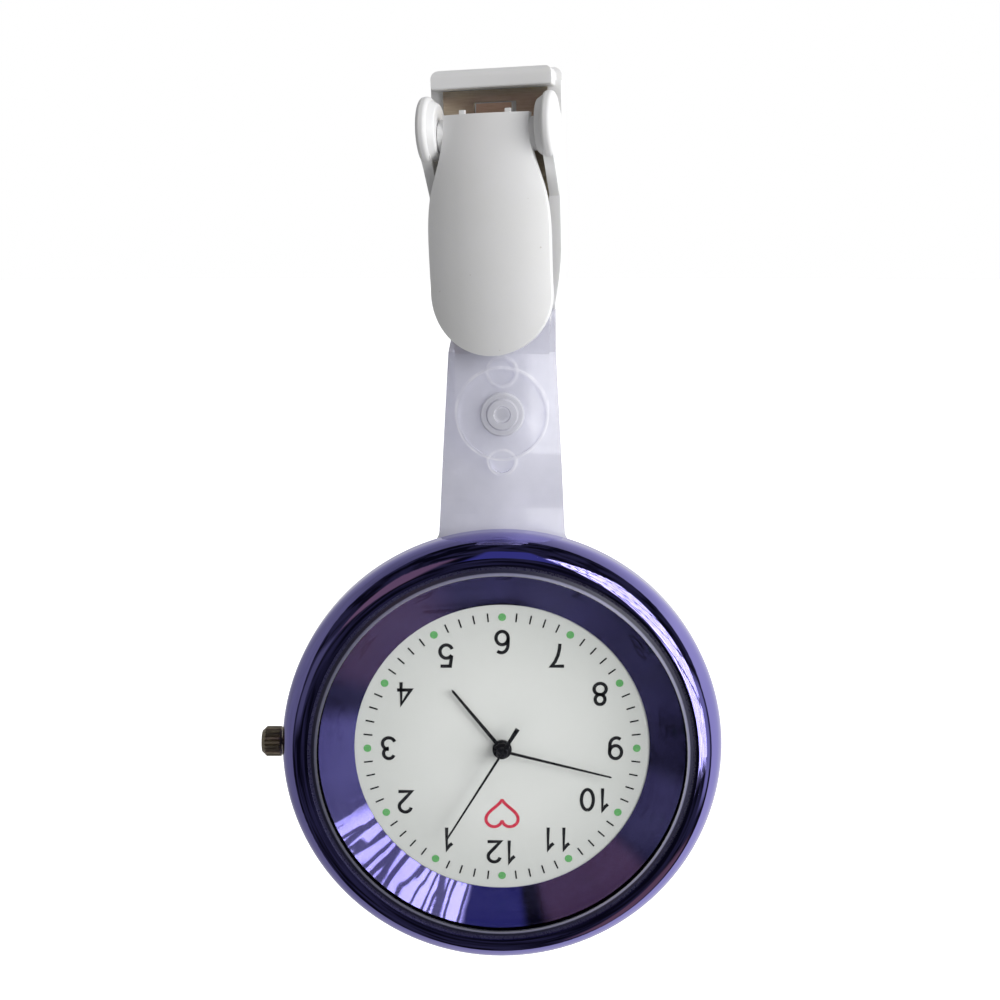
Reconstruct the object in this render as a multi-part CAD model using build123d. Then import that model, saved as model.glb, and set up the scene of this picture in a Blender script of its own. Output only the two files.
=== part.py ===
from build123d import *
import os
from math import cos, radians, sin

# A quartz fob watch that hangs from a garment clip, in millimetres.
# +Z is up, the dial faces -Y, and the origin is the clip's jaw.
# Case sizes are y values measured from the dial's front face, with minus towards the viewer,
# and x and z places inside the case are measured from the dial's centre.

# Where the dial, the strap bar and the jaw are
JAW_ABOVE_DIAL = 59.5
BAR_ABOVE_DIAL = 42.8
BAR_BEHIND_DIAL = 1.02
CLIP_YAW = -12.0
CLIP_ROLL = -1.8
CLIP_SHIFT = -0.2

# Case and bezel
CASE_R = 21.0
CASE_BAND_REAR_Y = 1.1
CASE_REAR_R = 20.0
CASE_REAR_Y = 3.0
CASE_BORE_R = 17.7
BEZEL_LAND_R = 18.5
BEZEL_FRONT_Y = -3.0
SPIGOT_R = 18.6
SPIGOT_END_Y = 4.1

# Crystal, its gasket and the sloping ring under it
CRYSTAL_SEAT_Y = -2.0
CRYSTAL_FRONT_Y = -3.1
CRYSTAL_R = 18.0
CRYSTAL_BEVEL = 0.3
CRYSTAL_GASKET_R = 18.3
DIAL_OPENING_R = 14.1
REHAUT_TOP_R = 17.3

# Press-fit back
BACK_R = 19.6
BACK_Y = 4.15
BACK_THICKNESS = 0.6
BACK_LIP_FRONT_Y = 3.15
BACK_LIP_INNER_R = 16.4
BACK_LIP_OUTER_R = 17.0

# Dial
DIAL_R = 17.5
DIAL_THICKNESS = 0.4
DIAL_HOLE_R = 0.78
FOOT_R = 0.3
FOOT_END_Y = 1.3
FOOT_PLACES = [(-7.6, 4.4), (7.6, 4.2)]

# Hands, with their angles clockwise from 12, which is at the bottom of the dial
HAND_THICKNESS = 0.12
HUB_HEIGHT = 0.3
HOUR_ANGLE = 141.0
HOUR_LENGTH = 7.6
HOUR_ROOT_WIDTH = 0.36
HOUR_TIP_WIDTH = 0.22
HOUR_HAND_Y = -0.5
MINUTE_ANGLE = 284.1
MINUTE_LENGTH = 10.8
MINUTE_ROOT_WIDTH = 0.27
MINUTE_TIP_WIDTH = 0.15
MINUTE_HAND_Y = -0.95
SECOND_ANGLE = 31.6
SECOND_LENGTH = 10.2
SECOND_TAIL = 2.8
SECOND_ROOT_WIDTH = 0.22
SECOND_TIP_WIDTH = 0.16
SECOND_HAND_Y = -1.55

# Crown, stem and tube, which lie along X on the left of the case
STEM_Y = 1.75
STEM_R = 0.4
STEM_INNER_X = -4.8
CROWN_R = 1.45
CROWN_INNER_X = -21.2
CROWN_LENGTH = 2.1
CROWN_SOCKET = 1.1
CROWN_FLUTES = 22
FLUTE_DEPTH = 0.13
TUBE_R = 0.9
TUBE_OUTER_X = -20.7

# Movement: a 17.8 x 15.3 mm plate behind the dial, with the wheels between it and a bridge
RUNNING_PLAY = 0.05
PLATE_HALF_X = 8.9
PLATE_HALF_Z = 7.65
PLATE_CORNER_R = 4.0
PLATE_WALL = 0.5
PLATE_FRONT_Y = 0.4
POCKET_FLOOR_Y = 1.1
PLATE_REAR_Y = 1.5
BRIDGE_FRONT_Y = 2.9
BRIDGE_REAR_Y = 3.2
CLAMP_REAR_Y = 3.35
PIVOT_R = 0.12
PIVOT_FRONT_Y = 1.2
PIVOT_REAR_Y = 3.1
WHEEL_THICKNESS = 0.15
PINION_LENGTH = 0.25
RING_REAR_Y = 3.1
RING_R = 17.6

# Gear train: teeth and modules. Each pair's centre distance follows from them.
CENTRE_TEETH = 64
THIRD_PINION_TEETH = 8
CENTRE_MODULE = 0.085
THIRD_TEETH = 60
FOURTH_PINION_TEETH = 8
THIRD_MODULE = 0.09
FOURTH_TEETH = 40
INTERMEDIATE_PINION_TEETH = 8
FOURTH_MODULE = 0.13
INTERMEDIATE_TEETH = 48
ROTOR_PINION_TEETH = 8
ROTOR_MODULE = 0.09
MINUTE_WHEEL_TEETH = 36
CANNON_TEETH = 12
CANNON_MODULE = 0.125
HOUR_TEETH = 40
MINUTE_PINION_TEETH = 10
HOUR_MODULE = 0.12

# Directions from one arbor to the next, in degrees from +X towards +Z
THIRD_DIRECTION = 225.0
INTERMEDIATE_DIRECTION = 60.0
ROTOR_DIRECTION = 20.0
MINUTE_WHEEL_DIRECTION = 180.0

# Levels of the wheels' front faces, from the dial side to the rear
HOUR_WHEEL_Y = 0.5
MINUTE_WHEEL_Y = 0.85
CENTRE_WHEEL_Y = 1.62
THIRD_WHEEL_Y = 1.92
FOURTH_WHEEL_Y = 2.25
INTERMEDIATE_WHEEL_Y = 2.5

# Nested pipes at the centre
CANNON_BORE_R = PIVOT_R + RUNNING_PLAY
CANNON_R = 0.38
HOUR_BORE_R = CANNON_R + RUNNING_PLAY
HOUR_PIPE_R = 0.62

# Motor, battery and circuit
STATOR_FRONT_Y = 1.75
STATOR_REAR_Y = 2.2
ROTOR_HOLE_R = 0.85
MAGNET_R = 0.6
CORE_REAR_Y = 2.6
CORE_HALF_HEIGHT = 0.4
COIL_Z = 6.1
COIL_R = 0.85
COIL_HALF_LENGTH = 3.7
CORE_HALF_LENGTH = 4.9
BATTERY_X = 5.0
BATTERY_Z = -4.0
BATTERY_R = 3.4
BATTERY_FRONT_Y = 1.2
BOARD_THICKNESS = 0.3
CAN_R = 0.5
SCREW_R = 0.35
SCREW_HEAD_R = 0.65
SCREW_HEAD_HEIGHT = 0.3
PILLAR_R = 0.8
SCREW_PLACES = [(-5.6, 3.0), (-6.9, -2.4), (-0.3, -6.2), (5.9, 1.3)]
# The bridge's corners run clockwise round the four screws and the wheels' rear pivots
BRIDGE_CORNERS = [
    (-6.6, 3.9), (1.0, 4.3), (4.8, 4.7), (7.0, 1.6), (6.3, 0.3), (1.4, -1.2),
    (0.7, -7.0), (-1.3, -7.0), (-7.8, -3.2), (-7.6, -1.4), (-6.8, 1.0),
]
BRIDGE_CORNER_R = 0.5
BOARD_LEFT_X = -8.3
BOARD_RIGHT_X = -1.5
BOARD_TOP_Z = -3.5
BOARD_BOTTOM_Z = -7.1
PINION_LEFT_X = -7.0
PINION_RIGHT_X = -6.2
PINION_R = 0.85

# Strap: one moulding with its root ring, its loop round the clip's bar and its fold-over tail
STRAP_THICKNESS = 0.9
STRAP_ROOT_Y = 3.55
STRAP_BOTTOM_HALF_WIDTH = 6.0
STRAP_TOP_HALF_WIDTH = 4.7
ROOT_RING_INNER_R = 18.65
ROOT_RING_OUTER_R = 19.9
FLARE_R = 1.6
FLARE_TOP_Z = 20.5
LOOP_PLAY = 0.06
SNAP_Z = 32.1
TAIL_R = 4.3
MARK_R = 1.4
LOWER_MARK_Z = 27.4
UPPER_MARK_Z = 36.0
RIDGE_WIDTH = 0.28
RIDGE_HEIGHT = 0.18
TWIST_START_Z = 37.6
BEND_BOTTOM_Z = 22.8
BEND_TOP_Z = 28.2
BEND_R = 6.0

# Snap fastener
SNAP_CAP_R = 2.05
SNAP_BOSS_R = 1.35
SNAP_DIMPLE_R = 0.8
SNAP_BODY_R = 1.95
SNAP_POST_R = 0.5
STUD_HEAD_R = 1.05
SOCKET_CAVITY_R = 1.15

# Clip, in its own frame: u across, v rearwards and heights measured from the strap bar's centre
BAR_R = 0.8
CHEEK_INNER_U = 5.0
CHEEK_OUTER_U = 6.0
CHEEK_FRONT_V = -1.2
CHEEK_BOTTOM = -1.3
CHEEK_CORNER_HEIGHT = 4.0
CHEEK_TIP_U = 5.2
PLATE_FRONT_V = 1.3
PLATE_REAR_V = 2.2
PLATE_BOTTOM = 1.6
PAD_FRONT_V = 0.7
PAD_BOTTOM = 3.5
CLIP_TOP = 20.2
LIP_BOTTOM = 18.5
LIP_FRONT_V = -1.3
LIP_HALF_WIDTH = 5.5
LIP_ROUNDING = 0.75
EAR_R = 3.0
EAR_RISE = 0.6
EAR_ROUNDING = 0.4
EAR_INNER_U = 5.05
EAR_OUTER_U = 6.05
BOSS_ROOT_R = 2.95
BOSS_FACE_R = 2.3
BOSS_INNER_U = 4.45
BOSS_ROUNDING = 0.25
PIN_V = -2.6
PIN_HEIGHT = 14.2
PIN_R = 0.5
PIN_HALF_LENGTH = 5.7
SPRING_HALF_WIDTH = 4.8
SPRING_THICKNESS = 0.35
SPRING_BOTTOM = 4.2
TONGUE_ROOT = 7.5
TONGUE_TIP = 17.2
TONGUE_TIP_V = -0.4
TONGUE_HALF_WIDTH = 1.6
TONGUE_SLOT = 0.35

# Clip lever
LEVER_TOP = 16.0
LEVER_BOTTOM = -5.2
LEVER_TOP_HALF_WIDTH = 3.9
LEVER_HALF_WIDTH = 5.5
LEVER_SHOULDER = (4.38, 11.7)
LEVER_WAIST = (5.1, 9.3)
LEVER_BELLY = (5.5, 4.0)
LEVER_FRONT_V = -5.3
LEVER_SHELL = 1.1
LEVER_CROSS_R = 14.0
LEVER_LONG_R = 60.0
HUB_R = 1.5
HUB_HALF_LENGTH = 4.38
NOSE_R = 2.85
NOSE_ANGLE = 20.0
NOSE_INNER_U = 1.95
NOSE_OUTER_U = 4.3
WEB_INNER_U = 2.9
WEB_OUTER_U = 3.6
NUB_U = 2.05


# ---------- shape helpers ----------

def polygon(*points):
    return make_face(Polyline(*points, close=True))


def turned(*points):
    """A solid turned about the Y axis from (radius, y) corners."""
    return revolve(polygon(*points), Axis.Y)


def ring(inner_r, outer_r, front, rear):
    return turned((inner_r, front), (outer_r, front), (outer_r, rear), (inner_r, rear))


def disc(r, front, rear):
    return ring(0, r, front, rear)


def slab(face, front, rear):
    """A face drawn in x and z, as deep as from y = front to y = rear."""
    return Plane.XZ.offset(-rear) * extrude(face, rear - front)


def across(face, left, right):
    """A face drawn in y and z, as wide as from x = left to x = right."""
    return Plane.YZ.offset(left) * extrude(face, right - left)


def block(left, right, front, rear, bottom, top):
    centre = Pos((left + right) / 2, (front + rear) / 2, (bottom + top) / 2)
    return centre * Box(right - left, rear - front, top - bottom)


def rod_x(r, left, right, y=0.0, z=0.0):
    return Pos((left + right) / 2, y, z) * Rot(0, 90, 0) * Cylinder(r, right - left)


def polar(distance, direction):
    return distance * cos(radians(direction)), distance * sin(radians(direction))


def mirrored_pair(shape):
    return shape + mirror(shape, Plane.YZ)


# ---------- case ----------

def make_case_body():
    bezel = EllipticalCenterArc(
        (BEZEL_LAND_R, 0), CASE_R - BEZEL_LAND_R, -BEZEL_FRONT_Y, 270, arc_size=90
    )
    band = Line((CASE_R, 0), (CASE_R, CASE_BAND_REAR_Y))
    rear_curve = ThreePointArc(
        (CASE_R, CASE_BAND_REAR_Y), (CASE_R - 0.3, 2.3), (CASE_REAR_R, CASE_REAR_Y)
    )
    inside = Polyline(
        (CASE_REAR_R, CASE_REAR_Y),
        (SPIGOT_R, CASE_REAR_Y),
        (SPIGOT_R, SPIGOT_END_Y),
        (CASE_BORE_R, SPIGOT_END_Y),
        (CASE_BORE_R, CRYSTAL_SEAT_Y),
        (CRYSTAL_GASKET_R, CRYSTAL_SEAT_Y),
        (CRYSTAL_GASKET_R, BEZEL_FRONT_Y),
        (BEZEL_LAND_R, BEZEL_FRONT_Y),
    )
    body = revolve(make_face([bezel, band, rear_curve, inside]), Axis.Y)
    return body - rod_x(TUBE_R, -CASE_R - 1, -CASE_BORE_R + 1, STEM_Y)


def make_crystal():
    return turned(
        (0, CRYSTAL_SEAT_Y),
        (CRYSTAL_R, CRYSTAL_SEAT_Y),
        (CRYSTAL_R, CRYSTAL_FRONT_Y + CRYSTAL_BEVEL),
        (CRYSTAL_R - 2 * CRYSTAL_BEVEL, CRYSTAL_FRONT_Y),
        (0, CRYSTAL_FRONT_Y),
    )


def make_crystal_gasket():
    return ring(CRYSTAL_R, CRYSTAL_GASKET_R, CRYSTAL_SEAT_Y - 0.8, CRYSTAL_SEAT_Y)


def make_rehaut_ring():
    outer_r = CASE_BORE_R - RUNNING_PLAY
    edge = 0.12
    return turned(
        (DIAL_OPENING_R, 0),
        (DIAL_OPENING_R, -edge),
        (REHAUT_TOP_R, CRYSTAL_SEAT_Y),
        (outer_r, CRYSTAL_SEAT_Y),
        (outer_r, 0),
    )


def make_case_back():
    rear = BACK_Y + BACK_THICKNESS
    chamfer_size = 0.2
    groove_depth = 0.12
    plate = turned(
        (0, BACK_Y),
        (BACK_R, BACK_Y),
        (BACK_R, rear - chamfer_size),
        (BACK_R - chamfer_size, rear),
        (0, rear),
    )
    lip = ring(BACK_LIP_INNER_R, BACK_LIP_OUTER_R, BACK_LIP_FRONT_Y, BACK_Y)
    groove = ring(BACK_LIP_INNER_R, BACK_LIP_OUTER_R - 0.2, rear - groove_depth, rear + 1)
    lifting_notch = block(-1.5, 1.5, BACK_Y - 1, BACK_Y + 0.25, -BACK_R - 1, -BACK_R + 0.5)
    return plate + lip - groove - lifting_notch


def make_back_gasket():
    return ring(BACK_LIP_OUTER_R, CASE_BORE_R, BACK_LIP_FRONT_Y + 0.25, SPIGOT_END_Y)


def make_movement_ring():
    inner = plate_outline(-0.1)
    body = disc(RING_R, PLATE_FRONT_Y, RING_REAR_Y) - slab(inner, 0, RING_REAR_Y + 1)
    return body - rod_x(STEM_R + 0.2, -RING_R - 1, 0, STEM_Y)


# ---------- crown and stem ----------

def make_crown_tube():
    tube = rod_x(TUBE_R, TUBE_OUTER_X, -CASE_BORE_R, STEM_Y)
    return tube - rod_x(STEM_R + RUNNING_PLAY, -CASE_R, -CASE_BORE_R + 1, STEM_Y)


def make_crown():
    points = []
    for i in range(CROWN_FLUTES):
        for share, r in ((0.0, CROWN_R), (0.5, CROWN_R), (0.75, CROWN_R - FLUTE_DEPTH)):
            points.append(polar(r, (i + share) * 360 / CROWN_FLUTES))
    fluted = extrude(polygon(*points), CROWN_LENGTH)
    envelope = Plane.XZ * polygon(
        (0, 0),
        (CROWN_R - 0.2, 0),
        (CROWN_R, 0.2),
        (CROWN_R, CROWN_LENGTH - 0.55),
        (CROWN_R - 0.4, CROWN_LENGTH - 0.12),
        (0, CROWN_LENGTH),
    )
    knob = fluted & revolve(envelope, Axis.Z)
    knob -= Pos(0, 0, CROWN_SOCKET / 2) * Cylinder(STEM_R, CROWN_SOCKET)
    return Pos(CROWN_INNER_X, STEM_Y, 0) * Rot(0, -90, 0) * knob


def make_stem():
    return rod_x(STEM_R, CROWN_INNER_X - CROWN_SOCKET, STEM_INNER_X, STEM_Y)


def make_setting_pinion():
    teeth = 12
    tooth_depth = 0.2
    points = []
    for i in range(teeth):
        for share, r in ((0.0, PINION_R), (0.35, PINION_R), (0.5, PINION_R - tooth_depth),
                         (0.85, PINION_R - tooth_depth)):
            points.append(polar(r, (i + share) * 360 / teeth))
    body = Plane.YZ.offset(PINION_LEFT_X) * extrude(polygon(*points), PINION_RIGHT_X - PINION_LEFT_X)
    return Pos(0, STEM_Y, 0) * body - rod_x(STEM_R + RUNNING_PLAY, -9, -4, STEM_Y)


# ---------- dial and hands ----------

def make_dial():
    plate = ring(DIAL_HOLE_R, DIAL_R, 0, DIAL_THICKNESS)
    for x, z in FOOT_PLACES:
        plate += Pos(x, 0, z) * disc(FOOT_R, DIAL_THICKNESS / 2, FOOT_END_Y)
    return plate


def pointer(length, root_width, tip_width, front):
    """A flat tapering hand pointing straight up from the dial's centre."""
    shape = polygon(
        (-root_width / 2, 0),
        (root_width / 2, 0),
        (tip_width / 2, length - tip_width),
        (0, length),
        (-tip_width / 2, length - tip_width),
    )
    return slab(shape, front, front + HAND_THICKNESS)


def at_dial_angle(shape, angle):
    """Turns a hand from straight up to a clockwise angle from 12, which is at the bottom."""
    return Rot(0, angle + 180, 0) * shape


def flat_hand(pipe_r, boss_r, blade, front, angle):
    boss = ring(pipe_r, boss_r, front, front + HUB_HEIGHT)
    return at_dial_angle(boss + (blade - disc(pipe_r + 0.1, front - 1, front + 1)), angle)


def make_hour_hand():
    blade = pointer(HOUR_LENGTH, HOUR_ROOT_WIDTH, HOUR_TIP_WIDTH, HOUR_HAND_Y)
    return flat_hand(HOUR_PIPE_R, 0.92, blade, HOUR_HAND_Y, HOUR_ANGLE)


def make_minute_hand():
    blade = pointer(MINUTE_LENGTH, MINUTE_ROOT_WIDTH, MINUTE_TIP_WIDTH, MINUTE_HAND_Y)
    return flat_hand(CANNON_R, 0.78, blade, MINUTE_HAND_Y, MINUTE_ANGLE)


def make_second_hand():
    rear = SECOND_HAND_Y + HAND_THICKNESS
    pipe_end = SECOND_HAND_Y + 0.4
    hub = turned(
        (0, SECOND_HAND_Y - 0.1),
        (0.5, SECOND_HAND_Y - 0.1),
        (0.58, SECOND_HAND_Y),
        (0.58, rear),
        (0.3, rear),
        (0.3, pipe_end),
        (PIVOT_R, pipe_end),
        (PIVOT_R, SECOND_HAND_Y),
        (0, SECOND_HAND_Y),
    )
    blade = pointer(SECOND_LENGTH, SECOND_ROOT_WIDTH, SECOND_TIP_WIDTH, SECOND_HAND_Y)
    tail = polygon((-0.12, 0), (-0.22, -SECOND_TAIL), (0.22, -SECOND_TAIL), (0.12, 0))
    blade += slab(tail, SECOND_HAND_Y, rear)
    return at_dial_angle(hub + (blade - disc(0.3, SECOND_HAND_Y - 1, rear)), SECOND_ANGLE)


# ---------- gear train ----------

def mesh_distance(teeth_a, teeth_b, module):
    return module * (teeth_a + teeth_b) / 2


def gear(teeth, module, front, length, direction):
    """A spur gear with flat-sided teeth, one of which points in the given direction."""
    pitch_r = module * teeth / 2
    tip_r = pitch_r + 0.85 * module
    root_r = pitch_r - 1.15 * module
    step = 360 / teeth
    points = []
    for i in range(teeth):
        for r, share in ((root_r, -0.3), (tip_r, -0.11), (tip_r, 0.11), (root_r, 0.3)):
            points.append(polar(r, direction + (i + share) * step))
    return slab(polygon(*points), front, front + length)


def gap_towards(direction, teeth):
    """The tooth direction that leaves a gap pointing in the given direction."""
    return direction + 180 / teeth


THIRD_X, THIRD_Z = polar(
    mesh_distance(CENTRE_TEETH, THIRD_PINION_TEETH, CENTRE_MODULE), THIRD_DIRECTION
)
INTERMEDIATE_X, INTERMEDIATE_Z = polar(
    mesh_distance(FOURTH_TEETH, INTERMEDIATE_PINION_TEETH, FOURTH_MODULE), INTERMEDIATE_DIRECTION
)
ROTOR_STEP_X, ROTOR_STEP_Z = polar(
    mesh_distance(INTERMEDIATE_TEETH, ROTOR_PINION_TEETH, ROTOR_MODULE), ROTOR_DIRECTION
)
ROTOR_X = INTERMEDIATE_X + ROTOR_STEP_X
ROTOR_Z = INTERMEDIATE_Z + ROTOR_STEP_Z
MINUTE_X, MINUTE_Z = polar(
    mesh_distance(MINUTE_WHEEL_TEETH, CANNON_TEETH, CANNON_MODULE), MINUTE_WHEEL_DIRECTION
)


def make_hour_wheel():
    wheel = gear(HOUR_TEETH, HOUR_MODULE, HOUR_WHEEL_Y, WHEEL_THICKNESS, MINUTE_WHEEL_DIRECTION)
    wheel += disc(HOUR_PIPE_R, HOUR_HAND_Y, HOUR_WHEEL_Y)
    return wheel - disc(HOUR_BORE_R, HOUR_HAND_Y - 1, HOUR_WHEEL_Y + 1)


def make_minute_wheel():
    towards_centre = MINUTE_WHEEL_DIRECTION + 180
    wheel = gear(
        MINUTE_WHEEL_TEETH, CANNON_MODULE, MINUTE_WHEEL_Y, WHEEL_THICKNESS, towards_centre
    )
    pinion_front = HOUR_WHEEL_Y - 0.05
    wheel += gear(
        MINUTE_PINION_TEETH,
        HOUR_MODULE,
        pinion_front,
        MINUTE_WHEEL_Y - pinion_front,
        gap_towards(towards_centre, MINUTE_PINION_TEETH),
    )
    wheel -= disc(PIVOT_R + 2 * RUNNING_PLAY, 0, PLATE_REAR_Y)
    return Pos(MINUTE_X, 0, MINUTE_Z) * wheel


def make_centre_wheel():
    wheel = gear(CENTRE_TEETH, CENTRE_MODULE, CENTRE_WHEEL_Y, WHEEL_THICKNESS, THIRD_DIRECTION)
    wheel += disc(CANNON_R, MINUTE_HAND_Y, CENTRE_WHEEL_Y)
    wheel += gear(
        CANNON_TEETH,
        CANNON_MODULE,
        MINUTE_WHEEL_Y - 0.05,
        PINION_LENGTH,
        gap_towards(MINUTE_WHEEL_DIRECTION, CANNON_TEETH),
    )
    return wheel - disc(CANNON_BORE_R, MINUTE_HAND_Y - 1, CENTRE_WHEEL_Y + 1)


def make_third_wheel():
    towards_centre = THIRD_DIRECTION - 180
    wheel = gear(THIRD_TEETH, THIRD_MODULE, THIRD_WHEEL_Y, WHEEL_THICKNESS, towards_centre)
    pinion_front = CENTRE_WHEEL_Y - 0.04
    wheel += gear(
        THIRD_PINION_TEETH,
        CENTRE_MODULE,
        pinion_front,
        THIRD_WHEEL_Y - pinion_front,
        gap_towards(towards_centre, THIRD_PINION_TEETH),
    )
    wheel += disc(PIVOT_R, PIVOT_FRONT_Y, PIVOT_REAR_Y)
    return Pos(THIRD_X, 0, THIRD_Z) * wheel


def make_fourth_wheel():
    wheel = gear(FOURTH_TEETH, FOURTH_MODULE, FOURTH_WHEEL_Y, WHEEL_THICKNESS, INTERMEDIATE_DIRECTION)
    pinion_front = THIRD_WHEEL_Y - 0.05
    wheel += gear(
        FOURTH_PINION_TEETH,
        THIRD_MODULE,
        pinion_front,
        FOURTH_WHEEL_Y - pinion_front,
        gap_towards(THIRD_DIRECTION, FOURTH_PINION_TEETH),
    )
    return wheel + disc(PIVOT_R, SECOND_HAND_Y, PIVOT_REAR_Y)


def make_intermediate_wheel():
    towards_centre = INTERMEDIATE_DIRECTION + 180
    wheel = gear(
        INTERMEDIATE_TEETH, ROTOR_MODULE, INTERMEDIATE_WHEEL_Y, WHEEL_THICKNESS, ROTOR_DIRECTION
    )
    pinion_front = FOURTH_WHEEL_Y - 0.05
    wheel += gear(
        INTERMEDIATE_PINION_TEETH,
        FOURTH_MODULE,
        pinion_front,
        INTERMEDIATE_WHEEL_Y - pinion_front,
        gap_towards(towards_centre, INTERMEDIATE_PINION_TEETH),
    )
    wheel += disc(PIVOT_R, PIVOT_FRONT_Y, PIVOT_REAR_Y)
    return Pos(INTERMEDIATE_X, 0, INTERMEDIATE_Z) * wheel


def make_rotor():
    towards_intermediate = ROTOR_DIRECTION + 180
    pinion_front = INTERMEDIATE_WHEEL_Y - 0.05
    rotor = gear(
        ROTOR_PINION_TEETH,
        ROTOR_MODULE,
        pinion_front,
        PINION_LENGTH,
        gap_towards(towards_intermediate, ROTOR_PINION_TEETH),
    )
    rotor += disc(MAGNET_R, STATOR_FRONT_Y, STATOR_REAR_Y)
    rotor += disc(PIVOT_R, PIVOT_FRONT_Y, PIVOT_REAR_Y)
    return Pos(ROTOR_X, 0, ROTOR_Z) * rotor


# ---------- movement frame ----------

def plate_outline(inset=0.0):
    return RectangleRounded(
        2 * (PLATE_HALF_X - inset), 2 * (PLATE_HALF_Z - inset), PLATE_CORNER_R - inset
    )


def hole_at(x, z, r):
    return Pos(x, 0, z) * disc(r, 0, CLAMP_REAR_Y + 1)


def make_main_plate():
    plate = slab(plate_outline(), PLATE_FRONT_Y, BRIDGE_FRONT_Y)
    plate -= slab(plate_outline(PLATE_WALL), PLATE_REAR_Y, BRIDGE_FRONT_Y)
    for x, z in SCREW_PLACES:
        plate += Pos(x, 0, z) * disc(PILLAR_R, PLATE_REAR_Y, BRIDGE_FRONT_Y)
    outer_bearing = block(-PLATE_HALF_X, PINION_LEFT_X - 0.2, PLATE_REAR_Y, 2.7, -1.2, 1.2)
    inner_bearing = block(PINION_RIGHT_X + 0.2, -4.9, PLATE_REAR_Y, 2.5, -0.8, 0.8)
    plate += outer_bearing + inner_bearing
    plate -= disc(HOUR_MODULE * HOUR_TEETH / 2 + 0.25, 0, POCKET_FLOOR_Y)
    minute_pocket_r = CANNON_MODULE * MINUTE_WHEEL_TEETH / 2 + 0.25
    plate -= Pos(MINUTE_X, 0, MINUTE_Z) * disc(minute_pocket_r, 0, POCKET_FLOOR_Y)
    plate += Pos(MINUTE_X, 0, MINUTE_Z) * disc(PIVOT_R + RUNNING_PLAY, HOUR_WHEEL_Y, POCKET_FLOOR_Y)
    plate -= Pos(BATTERY_X, 0, BATTERY_Z) * disc(BATTERY_R + 0.05, BATTERY_FRONT_Y, CLAMP_REAR_Y)
    plate -= rod_x(STEM_R + RUNNING_PLAY, -PLATE_HALF_X - 1, STEM_INNER_X + 0.1, STEM_Y)
    plate -= rod_x(PINION_R + 0.15, PINION_LEFT_X - 0.2, PINION_RIGHT_X + 0.2, STEM_Y)
    plate -= hole_at(0, 0, CANNON_R + 2 * RUNNING_PLAY)
    for x, z in SCREW_PLACES:
        plate -= Pos(x, 0, z) * disc(SCREW_R, PLATE_REAR_Y, BRIDGE_FRONT_Y)
    for x, z in ((THIRD_X, THIRD_Z), (INTERMEDIATE_X, INTERMEDIATE_Z), (ROTOR_X, ROTOR_Z)):
        plate -= hole_at(x, z, PIVOT_R + RUNNING_PLAY)
    for x, z in FOOT_PLACES:
        plate -= hole_at(x, z, FOOT_R)
    return plate


def make_train_bridge():
    outline = polygon(*BRIDGE_CORNERS)
    bridge = slab(fillet(outline.vertices(), BRIDGE_CORNER_R), BRIDGE_FRONT_Y, BRIDGE_REAR_Y)
    for x, z in SCREW_PLACES:
        bridge -= hole_at(x, z, SCREW_R)
    pivots = ((0, 0), (THIRD_X, THIRD_Z), (INTERMEDIATE_X, INTERMEDIATE_Z), (ROTOR_X, ROTOR_Z))
    for x, z in pivots:
        bridge -= hole_at(x, z, PIVOT_R + RUNNING_PLAY)
    return bridge


def make_bridge_screws():
    screws = []
    for x, z in SCREW_PLACES:
        under_clamp = (x, z) == SCREW_PLACES[-1]
        seat = CLAMP_REAR_Y if under_clamp else BRIDGE_REAR_Y
        screw = disc(SCREW_R, PLATE_REAR_Y, seat) + disc(SCREW_HEAD_R, seat, seat + SCREW_HEAD_HEIGHT)
        screw -= block(-1, 1, seat + 0.18, seat + 1, -0.08, 0.08)
        screws.append(Pos(x, 0, z) * screw)
    return Compound(screws)


def make_battery():
    lower_r = BATTERY_R - 0.35
    step_y = BATTERY_FRONT_Y + 0.45
    cell = turned(
        (0, BATTERY_FRONT_Y),
        (lower_r, BATTERY_FRONT_Y),
        (lower_r, step_y),
        (BATTERY_R, step_y),
        (BATTERY_R, BRIDGE_REAR_Y),
        (0, BRIDGE_REAR_Y),
    )
    return Pos(BATTERY_X, 0, BATTERY_Z) * cell


def make_battery_clamp():
    screw_x, screw_z = SCREW_PLACES[-1]
    arm = polygon(
        (screw_x - 1.0, screw_z + 1.0),
        (screw_x + 1.0, screw_z + 1.0),
        (screw_x + 0.9, BATTERY_Z),
        (BATTERY_X + 0.4, BATTERY_Z - 2.2),
        (BATTERY_X - 1.0, BATTERY_Z - 2.0),
        (BATTERY_X - 0.4, BATTERY_Z + 1.0),
    )
    clamp = slab(arm, BRIDGE_REAR_Y, CLAMP_REAR_Y)
    return clamp - hole_at(screw_x, screw_z, SCREW_R)


# ---------- motor and circuit ----------

def make_coil_core():
    return block(
        -CORE_HALF_LENGTH, CORE_HALF_LENGTH, STATOR_REAR_Y, CORE_REAR_Y,
        COIL_Z - CORE_HALF_HEIGHT, COIL_Z + CORE_HALF_HEIGHT,
    )


def make_coil_winding():
    centre_y = (STATOR_REAR_Y + CORE_REAR_Y) / 2
    winding = rod_x(COIL_R, -COIL_HALF_LENGTH, COIL_HALF_LENGTH, centre_y, COIL_Z)
    return winding - make_coil_core()


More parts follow.
